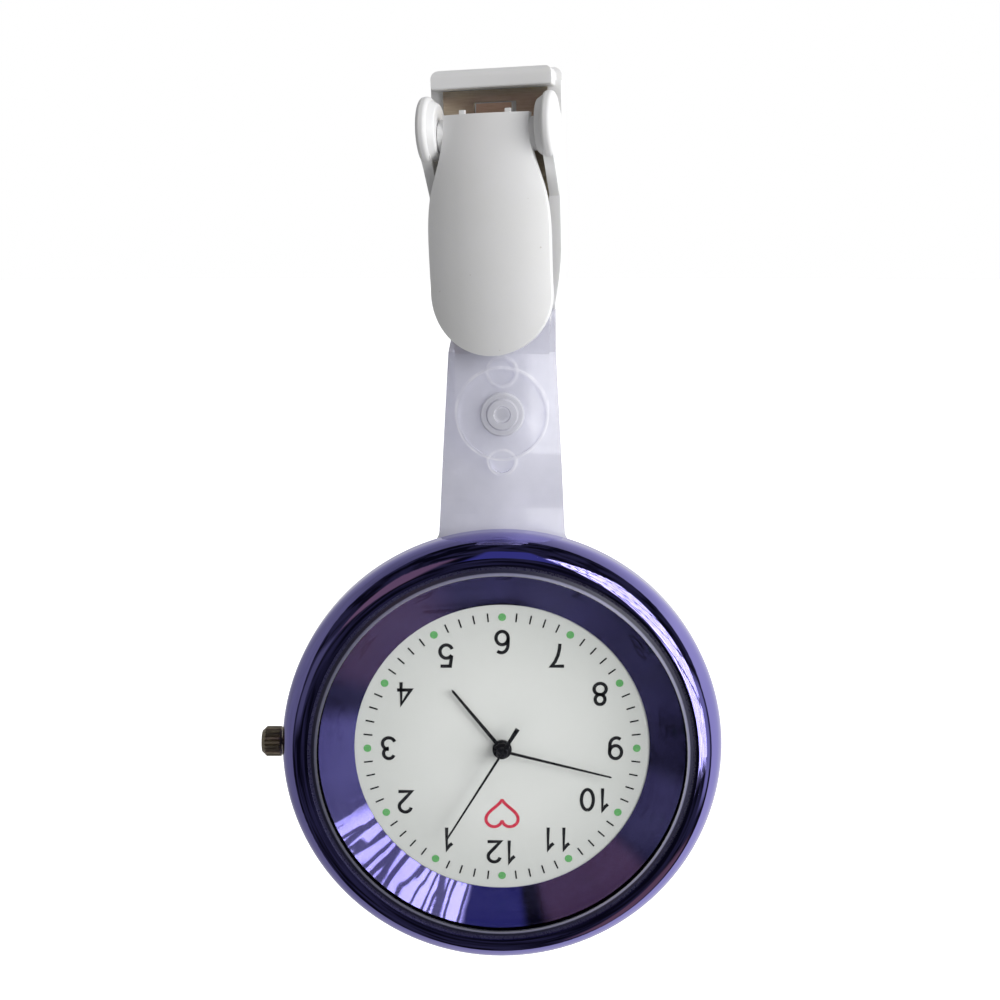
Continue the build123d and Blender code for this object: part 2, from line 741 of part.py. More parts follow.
def make_stator():
    leg_half_width = 0.45
    pad_r = 1.6
    left_leg = polygon(
        (-CORE_HALF_LENGTH, 4.4),
        (ROTOR_X, 4.4),
        (ROTOR_X, 5.1),
        (-CORE_HALF_LENGTH + 2 * leg_half_width, 5.1),
        (-CORE_HALF_LENGTH + 2 * leg_half_width, COIL_Z + leg_half_width),
        (-CORE_HALF_LENGTH, COIL_Z + leg_half_width),
    )
    right_leg = polygon(
        (ROTOR_X, 3.6),
        (CORE_HALF_LENGTH, 3.6),
        (CORE_HALF_LENGTH, COIL_Z + leg_half_width),
        (CORE_HALF_LENGTH - 2 * leg_half_width, COIL_Z + leg_half_width),
    )
    pad = Pos(ROTOR_X, ROTOR_Z) * Circle(pad_r)
    outline = left_leg + right_leg + pad - Pos(ROTOR_X, ROTOR_Z) * Circle(ROTOR_HOLE_R)
    return slab(outline, STATOR_FRONT_Y, STATOR_REAR_Y)


def make_circuit_board():
    outline = polygon(
        (BOARD_LEFT_X, BOARD_TOP_Z),
        (BOARD_RIGHT_X, BOARD_TOP_Z),
        (BOARD_RIGHT_X, BOARD_BOTTOM_Z),
        (BOARD_LEFT_X, BOARD_BOTTOM_Z),
    )
    outline &= plate_outline(PLATE_WALL + 0.05)
    return slab(outline, PLATE_REAR_Y, PLATE_REAR_Y + BOARD_THICKNESS)


def make_circuit_chip():
    board_rear = PLATE_REAR_Y + BOARD_THICKNESS
    blob = turned(
        (0, board_rear), (0.9, board_rear), (0.75, board_rear + 0.3),
        (0.4, board_rear + 0.45), (0, board_rear + 0.5),
    )
    return Pos(-6.3, 0, -4.5) * blob


def make_quartz_can():
    board_rear = PLATE_REAR_Y + BOARD_THICKNESS
    return rod_x(CAN_R, -5.6, -1.8, board_rear + CAN_R, -6.3)


# ---------- strap and snap ----------

BAR = Pos(0, BAR_BEHIND_DIAL, BAR_ABOVE_DIAL) * Rot(0, 0, CLIP_YAW) * Rot(0, CLIP_ROLL, 0)
CLIP = BAR * Pos(CLIP_SHIFT, 0, 0)
LOOP_INNER_R = BAR_R + LOOP_PLAY
LOOP_OUTER_R = LOOP_INNER_R + STRAP_THICKNESS
LAYER_V = (LOOP_INNER_R + LOOP_OUTER_R) / 2
BAND_Y = BAR_BEHIND_DIAL + LAYER_V
TAIL_Y = BAR_BEHIND_DIAL - LAYER_V
HALF_STRAP = STRAP_THICKNESS / 2
LOOP_END = -1.9


def strap_side_profile():
    """The band's side view: flat behind the case, a gentle bend, then straight up to the loop."""
    centre_line = FilletPolyline(
        (STRAP_ROOT_Y, ROOT_RING_INNER_R + 0.2),
        (STRAP_ROOT_Y, BEND_BOTTOM_Z),
        (BAND_Y, BEND_TOP_Z),
        (BAND_Y, TWIST_START_Z),
        radius=BEND_R,
    )
    return trace(centre_line, STRAP_THICKNESS)


def strap_front_outline():
    """Half of the band's front view, with the concave flare at its root."""
    root_half_width = STRAP_BOTTOM_HALF_WIDTH + FLARE_R
    edge = Polyline(
        (STRAP_BOTTOM_HALF_WIDTH, FLARE_TOP_Z),
        (STRAP_TOP_HALF_WIDTH, BAR_ABOVE_DIAL),
        (0, BAR_ABOVE_DIAL),
        (0, ROOT_RING_INNER_R),
        (root_half_width, ROOT_RING_INNER_R),
        (root_half_width, FLARE_TOP_Z - FLARE_R),
    )
    flare = CenterArc((root_half_width, FLARE_TOP_Z), FLARE_R, 180, 90)
    return make_face([edge, flare])


def layer_section(half_width, y):
    return Pos(0, y) * Rectangle(2 * half_width, STRAP_THICKNESS)


def twisted_layer(half_width, y, v):
    """A strap layer that turns from the case's direction to the clip's below the loop."""
    lower = Pos(0, 0, TWIST_START_Z) * layer_section(half_width, y)
    upper = BAR * Pos(0, 0, LOOP_END) * layer_section(STRAP_TOP_HALF_WIDTH, v)
    return loft([lower.face(), upper.face()], ruled=True)


def circle_ridge(z, r, face_y):
    """A low raised circle moulded on a strap layer whose front is at face_y."""
    rear = face_y + HALF_STRAP
    return Pos(0, 0, z) * ring(r - RIDGE_WIDTH, r, face_y - RIDGE_HEIGHT, rear)


def make_strap():
    root = ring(
        ROOT_RING_INNER_R, ROOT_RING_OUTER_R, STRAP_ROOT_Y - HALF_STRAP, STRAP_ROOT_Y + HALF_STRAP
    )
    outline = mirrored_pair(slab(strap_front_outline(), -5, 10))
    band = across(strap_side_profile(), -CASE_R, CASE_R) & outline
    band -= disc(ROOT_RING_INNER_R, 0, 10)
    loop = rod_x(LOOP_OUTER_R, -STRAP_TOP_HALF_WIDTH, STRAP_TOP_HALF_WIDTH)
    loop -= block(-6, 6, -3, 3, -3, 0)
    for v in (-LAYER_V, LAYER_V):
        loop += block(
            -STRAP_TOP_HALF_WIDTH, STRAP_TOP_HALF_WIDTH, v - HALF_STRAP, v + HALF_STRAP, LOOP_END, 0
        )
    loop -= rod_x(LOOP_INNER_R, -6, 6)
    tail_shape = Pos(0, SNAP_Z) * Circle(TAIL_R)
    tail_shape += Pos(0, (SNAP_Z + TWIST_START_Z) / 2) * Rectangle(2 * TAIL_R, TWIST_START_Z - SNAP_Z)
    tail = slab(tail_shape, TAIL_Y - HALF_STRAP, TAIL_Y + HALF_STRAP)
    taper = (STRAP_BOTTOM_HALF_WIDTH - STRAP_TOP_HALF_WIDTH) / (BAR_ABOVE_DIAL - FLARE_TOP_Z)
    twist_half_width = STRAP_TOP_HALF_WIDTH + taper * (BAR_ABOVE_DIAL - TWIST_START_Z)
    strap = root + band + twisted_layer(twist_half_width, BAND_Y, LAYER_V)
    strap += BAR * loop
    strap += twisted_layer(TAIL_R, TAIL_Y, -LAYER_V) + tail
    strap += circle_ridge(SNAP_Z, TAIL_R, TAIL_Y - HALF_STRAP)
    strap += circle_ridge(LOWER_MARK_Z, MARK_R, BAND_Y - HALF_STRAP)
    strap += circle_ridge(UPPER_MARK_Z, MARK_R, TAIL_Y - HALF_STRAP)
    for y in (TAIL_Y, BAND_Y):
        strap -= Pos(0, 0, SNAP_Z) * disc(SNAP_POST_R, y - 1.2, y + 1.2)
    return strap


def make_snap_front_cap():
    seat = TAIL_Y - HALF_STRAP
    cap = turned(
        (0, TAIL_Y + HALF_STRAP),
        (SNAP_POST_R, TAIL_Y + HALF_STRAP),
        (SNAP_POST_R, seat),
        (SNAP_CAP_R, seat),
        (SNAP_CAP_R, seat - 0.2),
        (SNAP_CAP_R - 0.15, seat - 0.35),
        (SNAP_BOSS_R + 0.15, seat - 0.35),
        (SNAP_BOSS_R, seat - 0.6),
        (SNAP_DIMPLE_R, seat - 0.6),
        (SNAP_DIMPLE_R - 0.1, seat - 0.3),
        (0, seat - 0.3),
    )
    return Pos(0, 0, SNAP_Z) * cap


def make_snap_socket():
    front = TAIL_Y + HALF_STRAP
    mouth = front + 1.15
    socket = turned(
        (0, front),
        (SNAP_BODY_R, front),
        (SNAP_BODY_R, mouth - 0.2),
        (SNAP_BODY_R - 0.2, mouth),
        (SOCKET_CAVITY_R, mouth),
        (SOCKET_CAVITY_R, front + 0.35),
        (0, front + 0.35),
    )
    return Pos(0, 0, SNAP_Z) * socket


def make_snap_stud():
    rear = BAND_Y - HALF_STRAP
    head_front = TAIL_Y + HALF_STRAP + 0.45
    stud = turned(
        (0, head_front),
        (STUD_HEAD_R - 0.15, head_front),
        (STUD_HEAD_R, head_front + 0.2),
        (STUD_HEAD_R - 0.15, head_front + 0.5),
        (STUD_HEAD_R - 0.15, rear - 0.45),
        (SNAP_BODY_R, rear - 0.45),
        (SNAP_BODY_R, rear),
        (0, rear),
    )
    return Pos(0, 0, SNAP_Z) * stud


def make_snap_rear_cap():
    seat = BAND_Y + HALF_STRAP
    cap = turned(
        (0, BAND_Y - HALF_STRAP),
        (SNAP_POST_R, BAND_Y - HALF_STRAP),
        (SNAP_POST_R, seat),
        (SNAP_CAP_R, seat),
        (SNAP_CAP_R, seat + 0.25),
        (SNAP_CAP_R - 0.3, seat + 0.45),
        (0, seat + 0.55),
    )
    return Pos(0, 0, SNAP_Z) * cap


# ---------- clip ----------

def make_ear():
    """A round lobe about the pin on a short neck from the cheek, with a boss towards the lever."""
    lobe_height = PIN_HEIGHT + EAR_RISE
    lobe = rod_x(EAR_R, EAR_INNER_U, EAR_OUTER_U, PIN_V, lobe_height)
    lobe = fillet(lobe.edges().filter_by(GeomType.CIRCLE), EAR_ROUNDING)
    neck = polygon(
        (PIN_V - 1.7, lobe_height - 2.2),
        (PIN_V - 0.6, lobe_height - 3.4),
        (CHEEK_FRONT_V, lobe_height - 6.0),
        (PAD_FRONT_V, lobe_height - 6.0),
        (PAD_FRONT_V, lobe_height + 1.2),
        (PIN_V + 1.6, lobe_height + 2.3),
    )
    boss_length = EAR_INNER_U + EAR_ROUNDING - BOSS_INNER_U
    boss = Rot(0, 90, 0) * Cone(BOSS_FACE_R, BOSS_ROOT_R, boss_length)
    boss = fillet(boss.edges().group_by(Axis.X)[0], BOSS_ROUNDING)
    boss = Pos(BOSS_INNER_U + boss_length / 2, PIN_V, lobe_height) * boss
    return lobe + boss + across(neck, EAR_INNER_U, EAR_OUTER_U - 0.1)


def cheek_profile():
    outline = Polyline(
        (0.4, CHEEK_BOTTOM),
        (CHEEK_FRONT_V + 0.5, CHEEK_BOTTOM),
        (CHEEK_FRONT_V, CHEEK_BOTTOM + 0.5),
        (CHEEK_FRONT_V, PIN_HEIGHT - 0.7),
        (PAD_FRONT_V, PIN_HEIGHT + 0.8),
        (PAD_FRONT_V, LIP_BOTTOM + 0.5),
        (PLATE_REAR_V, LIP_BOTTOM + 0.5),
        (PLATE_REAR_V, CHEEK_CORNER_HEIGHT),
    )
    heel = ThreePointArc((PLATE_REAR_V, CHEEK_CORNER_HEIGHT), (1.75, 0.2), (0.4, CHEEK_BOTTOM))
    return make_face([outline, heel])


def clip_front_outline():
    """Half of the base's front view, drawn in towards the strap at the bottom."""
    edge = Polyline(
        (EAR_OUTER_U + 1, CHEEK_CORNER_HEIGHT),
        (EAR_OUTER_U + 1, CLIP_TOP + 1),
        (0, CLIP_TOP + 1),
        (0, CHEEK_BOTTOM - 1),
        (CHEEK_TIP_U, CHEEK_BOTTOM - 1),
        (CHEEK_TIP_U, CHEEK_BOTTOM),
    )
    corner = ThreePointArc(
        (CHEEK_TIP_U, CHEEK_BOTTOM),
        (CHEEK_OUTER_U - 0.25, CHEEK_CORNER_HEIGHT - 2.4),
        (CHEEK_OUTER_U, CHEEK_CORNER_HEIGHT),
    )
    step = Line((CHEEK_OUTER_U, CHEEK_CORNER_HEIGHT), (EAR_OUTER_U + 1, CHEEK_CORNER_HEIGHT))
    return make_face([edge, corner, step])


def make_clip_base():
    cheek = across(cheek_profile(), CHEEK_INNER_U, CHEEK_OUTER_U)
    lip = block(-LIP_HALF_WIDTH, LIP_HALF_WIDTH, LIP_FRONT_V, PLATE_REAR_V, LIP_BOTTOM, CLIP_TOP)
    lip = fillet(lip.edges().group_by(Axis.Z)[-1], LIP_ROUNDING)
    lip = fillet(lip.edges().group_by(Axis.Z)[0], 0.2)
    plate = block(-CHEEK_OUTER_U, CHEEK_OUTER_U, PLATE_FRONT_V, PLATE_REAR_V, PLATE_BOTTOM, CLIP_TOP)
    plate = fillet(plate.edges().filter_by(Axis.Y), LIP_ROUNDING)
    pad = block(-CHEEK_INNER_U, CHEEK_INNER_U, PAD_FRONT_V, PLATE_FRONT_V, PAD_BOTTOM, LIP_BOTTOM + 0.5)
    base = plate + pad + lip + mirrored_pair(cheek + make_ear())
    base &= mirrored_pair(slab(clip_front_outline(), -10, 10))
    base += rod_x(BAR_R, -CHEEK_INNER_U - 0.3, CHEEK_INNER_U + 0.3)
    return base - rod_x(PIN_R, -PIN_HALF_LENGTH, PIN_HALF_LENGTH, PIN_V, PIN_HEIGHT)


def lever_outline():
    side = Spline(
        (LEVER_HALF_WIDTH, LEVER_BOTTOM + LEVER_HALF_WIDTH),
        LEVER_BELLY,
        LEVER_WAIST,
        LEVER_SHOULDER,
        (LEVER_TOP_HALF_WIDTH, LEVER_TOP),
    )
    rest = Polyline((LEVER_TOP_HALF_WIDTH, LEVER_TOP), (0, LEVER_TOP), (0, LEVER_BOTTOM))
    foot = CenterArc((0, LEVER_BOTTOM + LEVER_HALF_WIDTH), LEVER_HALF_WIDTH, -90, 90)
    half = make_face([side, rest, foot])
    return half + mirror(half, Plane.YZ)


def lever_dome(cross_r):
    """A barrel form whose front curves gently lengthways and more tightly across."""
    middle = (LEVER_TOP + LEVER_BOTTOM) / 2
    centre_v = LEVER_FRONT_V + LEVER_LONG_R
    return Pos(0, centre_v, middle) * Rot(0, 90, 0) * Torus(LEVER_LONG_R - LEVER_CROSS_R, cross_r)


def make_clip_lever():
    body = slab(lever_outline(), LEVER_FRONT_V - 1, 0)
    shell = (body & lever_dome(LEVER_CROSS_R)) - lever_dome(LEVER_CROSS_R - LEVER_SHELL)
    hub = rod_x(HUB_R, -HUB_HALF_LENGTH, HUB_HALF_LENGTH, PIN_V, PIN_HEIGHT)
    tip_v, tip_height = polar(NOSE_R, NOSE_ANGLE)
    nose_profile = polygon(
        (PIN_V, PIN_HEIGHT - HUB_R),
        (PIN_V + tip_v - 0.35, PIN_HEIGHT + tip_height - 1.1),
        (PIN_V + tip_v, PIN_HEIGHT + tip_height - 0.1),
        (PIN_V + tip_v - 0.15, PIN_HEIGHT + tip_height + 0.1),
        (PIN_V, PIN_HEIGHT + HUB_R),
    )
    nose = across(nose_profile, NOSE_INNER_U, NOSE_OUTER_U)
    web_profile = polygon(
        (-4.0, PIN_HEIGHT - 8.2),
        (-3.3, PIN_HEIGHT - 8.2),
        (PIN_V + 0.5, PIN_HEIGHT - 1.3),
        (PIN_V + 0.5, PIN_HEIGHT + 1.3),
        (-4.0, PIN_HEIGHT + 1.2),
    )
    web = across(web_profile, WEB_INNER_U, WEB_OUTER_U)
    nub = Pos(NUB_U, -3.9, LEVER_TOP) * Box(0.5, 0.5, 0.7)
    lever = shell + hub + mirrored_pair(nose + web + nub)
    return lever - rod_x(PIN_R + RUNNING_PLAY, -7, 7, PIN_V, PIN_HEIGHT)


def make_clip_pin():
    return rod_x(PIN_R, -PIN_HALF_LENGTH, PIN_HALF_LENGTH, PIN_V, PIN_HEIGHT)


def make_clip_spring():
    front = PAD_FRONT_V - SPRING_THICKNESS
    top = LIP_BOTTOM - RUNNING_PLAY
    plate = block(-SPRING_HALF_WIDTH, SPRING_HALF_WIDTH, front, PAD_FRONT_V, SPRING_BOTTOM, top)
    slot = TONGUE_HALF_WIDTH + TONGUE_SLOT
    plate -= block(-slot, slot, -1, 1, TONGUE_ROOT, TONGUE_TIP + 0.2)
    tongue_profile = polygon(
        (PAD_FRONT_V, TONGUE_ROOT - 0.3),
        (front, TONGUE_ROOT - 0.3),
        (TONGUE_TIP_V, TONGUE_TIP - 1.2),
        (TONGUE_TIP_V + 0.1, TONGUE_TIP),
        (TONGUE_TIP_V + 0.4, TONGUE_TIP),
        (TONGUE_TIP_V + 0.3, TONGUE_TIP - 1.2),
    )
    return plate + across(tongue_profile, -TONGUE_HALF_WIDTH, TONGUE_HALF_WIDTH)


# ---------- assembly ----------

CASE_PARTS = {
    "case_body": make_case_body,
    "crystal": make_crystal,
    "crystal_gasket": make_crystal_gasket,
    "rehaut_ring": make_rehaut_ring,
    "case_back": make_case_back,
    "back_gasket": make_back_gasket,
    "movement_ring": make_movement_ring,
    "crown_tube": make_crown_tube,
    "crown": make_crown,
    "stem": make_stem,
    "setting_pinion": make_setting_pinion,
    "dial": make_dial,
    "hour_hand": make_hour_hand,
    "minute_hand": make_minute_hand,
    "second_hand": make_second_hand,
    "hour_wheel": make_hour_wheel,
    "minute_wheel": make_minute_wheel,
    "centre_wheel": make_centre_wheel,
    "third_wheel": make_third_wheel,
    "fourth_wheel": make_fourth_wheel,
    "intermediate_wheel": make_intermediate_wheel,
    "rotor": make_rotor,
    "main_plate": make_main_plate,
    "train_bridge": make_train_bridge,
    "bridge_screws": make_bridge_screws,
    "battery": make_battery,
    "battery_clamp": make_battery_clamp,
    "coil_core": make_coil_core,
    "coil_winding": make_coil_winding,
    "stator": make_stator,
    "circuit_board": make_circuit_board,
    "circuit_chip": make_circuit_chip,
    "quartz_can": make_quartz_can,
    "strap": make_strap,
    "snap_front_cap": make_snap_front_cap,
    "snap_socket": make_snap_socket,
    "snap_stud": make_snap_stud,
    "snap_rear_cap": make_snap_rear_cap,
}

CLIP_PARTS = {
    "clip_base": make_clip_base,
    "clip_lever": make_clip_lever,
    "clip_pin": make_clip_pin,
    "clip_spring": make_clip_spring,
}

DIAL = Pos(0, -BAR_BEHIND_DIAL, -JAW_ABOVE_DIAL)

os.makedirs("parts", exist_ok=True)
for name, make in CASE_PARTS.items():
    export_step(DIAL * make(), f"parts/{name}.step")
for name, make in CLIP_PARTS.items():
    export_step(DIAL * CLIP * make(), f"parts/{name}.step")
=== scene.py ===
from math import cos, pi, radians, sin

import bmesh
import bpy
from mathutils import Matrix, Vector


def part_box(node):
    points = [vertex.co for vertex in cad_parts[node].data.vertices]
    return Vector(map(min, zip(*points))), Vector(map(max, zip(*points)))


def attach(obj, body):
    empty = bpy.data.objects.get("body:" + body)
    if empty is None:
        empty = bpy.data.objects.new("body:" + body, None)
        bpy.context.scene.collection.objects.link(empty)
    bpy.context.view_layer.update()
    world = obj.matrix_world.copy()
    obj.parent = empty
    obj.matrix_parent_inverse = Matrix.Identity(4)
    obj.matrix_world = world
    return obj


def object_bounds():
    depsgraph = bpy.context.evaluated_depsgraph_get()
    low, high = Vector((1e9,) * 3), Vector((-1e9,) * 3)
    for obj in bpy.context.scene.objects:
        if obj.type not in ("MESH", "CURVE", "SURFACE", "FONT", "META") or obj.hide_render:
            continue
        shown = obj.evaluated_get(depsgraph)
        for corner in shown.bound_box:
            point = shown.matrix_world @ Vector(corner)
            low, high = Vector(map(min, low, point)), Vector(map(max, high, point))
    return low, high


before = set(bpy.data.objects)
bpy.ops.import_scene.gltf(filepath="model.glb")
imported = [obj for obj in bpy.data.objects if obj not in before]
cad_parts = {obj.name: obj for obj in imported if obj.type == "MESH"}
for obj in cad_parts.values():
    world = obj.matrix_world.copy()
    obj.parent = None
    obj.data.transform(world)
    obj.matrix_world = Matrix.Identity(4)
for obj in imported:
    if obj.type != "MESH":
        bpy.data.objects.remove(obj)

cad_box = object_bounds()
MM = 0.001

# Dial print, in millimetres from the dial's centre. 12 is at the bottom.
HOURS = 12
MINUTES = 60
MARK_RADIUS = 12.87
DOT_RADIUS = 0.37
DOT_CORNERS = 32
TICK_LENGTH = 0.85
TICK_WIDTH = 0.15
NUMERAL_HEIGHT = 2.3
NUMERAL_STROKE = 0.14
NUMERAL_PITCH = 0.66
NUMERAL_RADIUS = 10.45
NUMERAL_SIDE_SHIFT = 0.4
HEART_DISTANCE = 6.5
HEART_WIDTH = 3.1
HEART_LINE = 0.3
HEART_STEPS = 32
INK_THICKNESS = 0.02
INK_SUNK = 0.001

# The soft strap is slightly bowed across its width
BOW_WIDTH = 0.006
BOW_DEPTH = 0.9

# Moulded rings of the strap and its snap, along which highlights are painted, in metres from the middle of
# the snap
MARK_RING_RADIUS = 0.0014
LOWER_MARK_DROP = 0.0047
UPPER_MARK_RISE = 0.0039
STRAP_END_RADIUS = 0.0043
SNAP_RINGS = (0.0007, 0.0019)
MARK_RING_WIDTH = 0.00018
SNAP_INNER_RING_WIDTH = 0.00022
WIDE_RING_WIDTH = 0.0002

# The crystal's edge is ground beyond this radius and carries a painted highlight line, and its outermost part
# is painted dark as the bezel's shade
CRYSTAL_GROUND = (0.01738, 0.01748)
CRYSTAL_SHADED = (0.01762, 0.01772)
CRYSTAL_IOR = 1.49
VINYL_IOR = 1.46

# The studio: brightness of the window, of the light on matt surfaces and of the soft lamp
WINDOW_BRIGHTNESS = 5.0
LIGHT_FROM_RIGHT = (0.12, 0.64)
LIGHT_FROM_BEHIND = 0.45
EXTRA_LIGHT_UNDER_GLASS = 1.75
LAMP_FROM_DIAL = Vector((0.38, -0.285, 0.15))
LAMP_SIZE = 0.35
LAMP_POWER = 2.3
FLOOR_RADIUS = 4.0
FLOOR_CORNERS = 48
FLOOR_GLOW = 0.75

# Camera, measured from the dial's centre
CAMERA_FROM_DIAL = Vector((-0.0002, -0.1378, 0.0473))
CAMERA_PITCH = radians(9.6)
CAMERA_LENS = 54.0
FLOOR_BELOW = 0.02


# ---------- node helpers ----------

def add(tree, kind, inputs=None, **settings):
    """Adds a shader node, sets its settings, then links or sets its inputs by name or number."""
    made = tree.nodes.new("ShaderNode" + kind)
    for name, value in settings.items():
        setattr(made, name, value)
    for name, value in (inputs or {}).items():
        if isinstance(value, bpy.types.NodeSocket):
            tree.links.new(value, made.inputs[name])
        else:
            made.inputs[name].default_value = value
    return made


def calc(tree, operation, *values):
    return add(tree, "Math", dict(enumerate(values)), operation=operation).outputs[0]


def mapped(tree, value, low, high, to_low=0.0, to_high=1.0, smooth=False):
    inputs = {"Value": value, "From Min": low, "From Max": high, "To Min": to_low, "To Max": to_high}
    kind = "SMOOTHSTEP" if smooth else "LINEAR"
    return add(tree, "MapRange", inputs, interpolation_type=kind).outputs["Result"]


def blend_colours(tree, factor, first, second, mode="MIX"):
    inputs = {0: factor, 6: first, 7: second}
    return add(tree, "Mix", inputs, data_type="RGBA", blend_type=mode).outputs[2]


def place(tree, scale=(1.0, 1.0, 1.0)):
    """Coordinates in the object's own frame, in metres, stretched by scale."""
    coordinates = add(tree, "TexCoord").outputs["Object"]
    return add(tree, "Mapping", {"Vector": coordinates, "Scale": scale}).outputs[0]


def noise(tree, size, detail=3.0, stretch=(1.0, 1.0, 1.0), roughness=0.5):
    """Noise from 0 to 1 with features of about size millimetres."""
    inputs = {
        "Vector": place(tree, stretch),
        "Scale": 1 / (size * MM),
        "Detail": detail,
        "Roughness": roughness,
    }
    return add(tree, "TexNoise", inputs).outputs["Fac"]


def distance_from_axis(tree, centre):
    """Distance from the line along Y through centre, in metres."""
    coordinates = add(tree, "TexCoord").outputs["Object"]
    moved = add(tree, "VectorMath", {0: coordinates, 1: centre}, operation="SUBTRACT").outputs[0]
    flat = add(tree, "VectorMath", {0: moved, 1: (1, 0, 1)}, operation="MULTIPLY").outputs[0]
    return add(tree, "VectorMath", {0: flat}, operation="LENGTH").outputs["Value"]


def lathe_marks(tree, centre, size):
    """Noise that changes only with the distance from an axis, as turned or circularly brushed metal has."""
    radius = distance_from_axis(tree, centre)
    across = add(tree, "CombineXYZ", {"X": radius}).outputs[0]
    return add(tree, "TexNoise", {"Vector": across, "Scale": 1 / (size * MM), "Detail": 2.0}).outputs["Fac"]


def bump(tree, height, depth, strength=1.0, normal=None):
    """A bump of about depth millimetres."""
    inputs = {"Height": height, "Strength": strength, "Distance": depth * MM}
    if normal is not None:
        inputs["Normal"] = normal
    return add(tree, "Bump", inputs).outputs["Normal"]


def new_material(name):
    material = bpy.data.materials.new(name)
    material.use_nodes = True
    material.node_tree.nodes.clear()
    return material, material.node_tree


def principled(tree, inputs):
    """The main shader, wired to the output."""
    shader = add(tree, "BsdfPrincipled", inputs)
    add(tree, "OutputMaterial", {"Surface": shader.outputs[0]})
    return shader


def let_lamps_through(tree, shader, tint):
    """Glass that light reaches through: for shadow rays the surface is a tinted clear one."""
    output = next(n for n in tree.nodes if n.type == "OUTPUT_MATERIAL")
    shadow = add(tree, "LightPath").outputs["Is Shadow Ray"]
    clear = add(tree, "BsdfTransparent", {"Color": tint})
    mixed = add(tree, "MixShader", {0: shadow, 1: shader.outputs[0], 2: clear.outputs[0]})
    tree.links.new(mixed.outputs[0], output.inputs["Surface"])


def colour(r, g, b):
    return (r, g, b, 1.0)


# ---------- materials ----------

def plated(name, tint, dark_tint, wear, machining=None):
    """Mirror-bright violet plating, with faint polishing lines, haze and a few handling marks."""
    material, tree = new_material(name)
    cloud = noise(tree, 9.0, 2.0)
    lines = noise(tree, 0.5, 4.0, (1.0, 1.0, 9.0))
    shade = mapped(tree, cloud, 0.35, 0.65)
    scuffs = mapped(tree, noise(tree, 1.2, 6.0, roughness=0.75), 0.62, 0.8)
    haze = calc(tree, "MULTIPLY_ADD", scuffs, wear, 0.02)
    height = calc(tree, "MULTIPLY_ADD", noise(tree, 3.0, 1.0), 1.0, calc(tree, "MULTIPLY", lines, 0.02))
    if machining is not None:
        height = calc(tree, "MULTIPLY_ADD", lathe_marks(tree, machining, 0.25), 0.02, height)
    principled(tree, {
        "Base Color": blend_colours(tree, shade, dark_tint, tint),
        "Metallic": 1.0,
        "Roughness": haze,
        "Normal": bump(tree, height, 0.008),
    })
    return material


def crystal_glass(centre):
    """Clear glass whose ground edge is a little rough, with a painted grey-blue highlight line on it and
    painted shade from the bezel beyond it.
    """
    material, tree = new_material("crystal_glass")
    smear = noise(tree, 6.0, 3.0)
    clean = blend_colours(tree, smear, colour(0.97, 0.98, 0.98), colour(1.0, 1.0, 1.0))
    ground = mapped(tree, distance_from_axis(tree, centre), *CRYSTAL_GROUND)
    grit = noise(tree, 0.4, 2.0)
    # Painted highlight: a thin grey-blue line on the crystal's ground edge
    bevel_highlight = blend_colours(tree, grit, colour(0.22, 0.22, 0.33), colour(0.30, 0.30, 0.43))
    # Painted shade: dark beyond the highlight line, where the bezel shades the crystal's outermost part
    shaded = mapped(tree, distance_from_axis(tree, centre), *CRYSTAL_SHADED)
    bevel_highlight_and_shade = blend_colours(tree, shaded, bevel_highlight, colour(0.025, 0.024, 0.05))
    shader = principled(tree, {
        "Base Color": blend_colours(tree, ground, clean, bevel_highlight_and_shade),
        "Transmission Weight": mapped(tree, ground, 0.0, 1.0, 1.0, 0.2),
        "IOR": CRYSTAL_IOR,
        "Roughness": mapped(tree, ground, 0.0, 1.0, 0.0, 0.3),
    })
    let_lamps_through(tree, shader, colour(0.97, 0.975, 0.97))
    return material


def ring_line(tree, centre, radius, width):
    """1 on a thin circle about an axis along Y, in metres, and 0 away from it."""
    off = calc(tree, "ABSOLUTE", calc(tree, "SUBTRACT", distance_from_axis(tree, centre), radius))
    return mapped(tree, off, width * 0.3, width, 1.0, 0.0, True)


def clear_plastic(name, tint, body_tint, clearness, ripple, lamp_tint, highlight_rings=()):
    """Soft clear vinyl: milky and unevenly moulded, with painted highlights along its moulded rings."""
    material, tree = new_material(name)
    cloud = mapped(tree, noise(tree, 3.5, 3.0), 0.35, 0.7)
    waves = calc(tree, "MULTIPLY_ADD", noise(tree, 0.6, 2.0), 0.25, noise(tree, 4.0, 2.0))
    sideways = add(tree, "SeparateXYZ", {"Vector": place(tree, (1 / BOW_WIDTH, 1, 1))}).outputs[0]
    bow = calc(tree, "MULTIPLY", calc(tree, "MULTIPLY", sideways, sideways), -1.0)
    height = calc(tree, "MULTIPLY_ADD", waves, ripple, calc(tree, "MULTIPLY", bow, BOW_DEPTH))
    body = blend_colours(tree, cloud, tint, body_tint)
    # Painted highlights: near-white lines along each ring, broken up by noise
    for centre, radius, width in highlight_rings:
        patchy_highlight = mapped(tree, noise(tree, 1.6, 2.0), 0.38, 0.62, 0.15, 0.75)
        line = calc(tree, "MULTIPLY", ring_line(tree, centre, radius, width), patchy_highlight)
        body = blend_colours(tree, line, body, colour(0.92, 0.92, 0.94))
    shader = principled(tree, {
        "Base Color": body,
        "Transmission Weight": clearness,
        "IOR": VINYL_IOR,
        "Roughness": mapped(tree, cloud, 0.0, 1.0, 0.06, 0.17),
        "Normal": bump(tree, height, 1.0),
    })
    let_lamps_through(tree, shader, lamp_tint)
    return material


